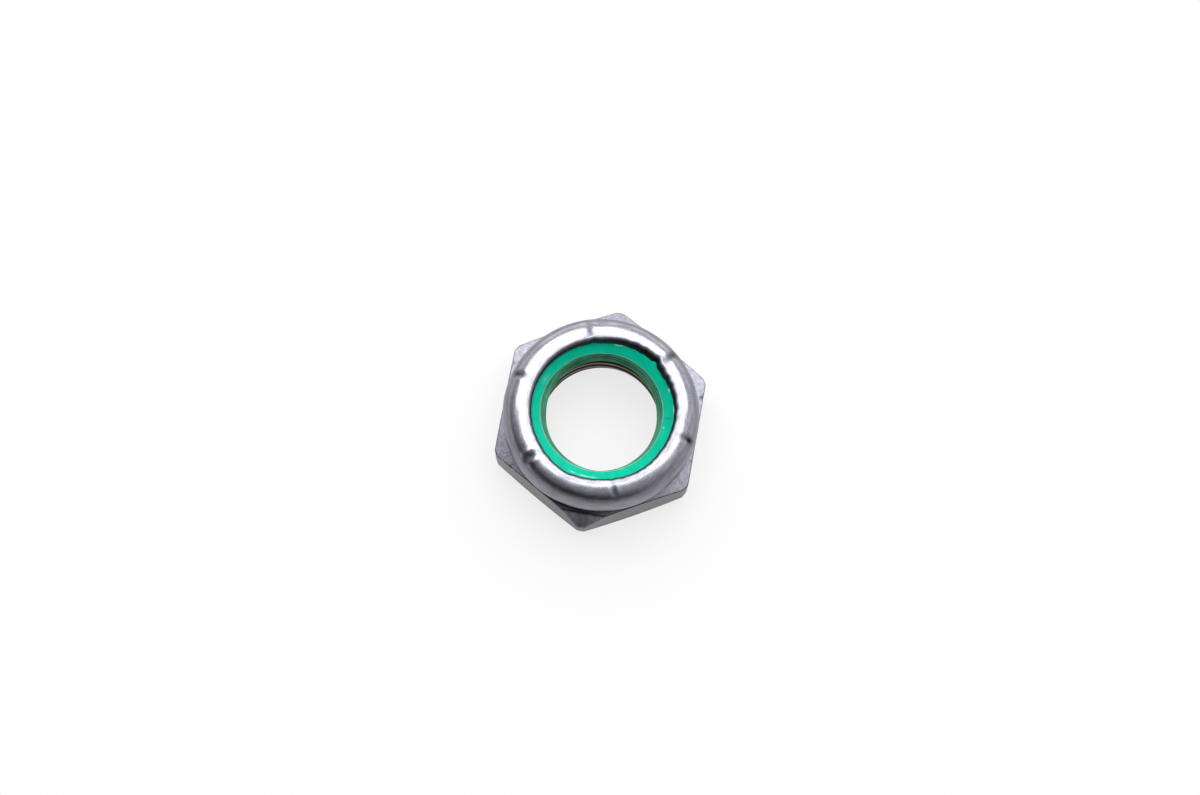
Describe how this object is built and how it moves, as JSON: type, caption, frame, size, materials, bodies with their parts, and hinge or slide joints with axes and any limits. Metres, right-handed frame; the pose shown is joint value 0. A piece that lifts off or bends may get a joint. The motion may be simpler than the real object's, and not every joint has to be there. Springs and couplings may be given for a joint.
{
  "type": "lock nut",
  "caption": "Thin hexagon lock nut: a steel body whose rolled collar holds a green nylon ring that grips the thread of the bolt.",
  "frame": {"origin": "centre of the bearing face, on the axis of the bore", "axes": "+Z along the bore, from the bearing face to the collar; +X through a corner of the hexagon; +Y through a flat"},
  "size_m": [0.027, 0.0238, 0.0097],
  "materials": {
    "steel": "plain forged steel, with a burnished satin collar",
    "nylon": "moulded green nylon, satin"
  },
  "bodies": {
    "root": {"nut_body": "steel", "locking_insert": "nylon"}
  },
  "joints": []
}
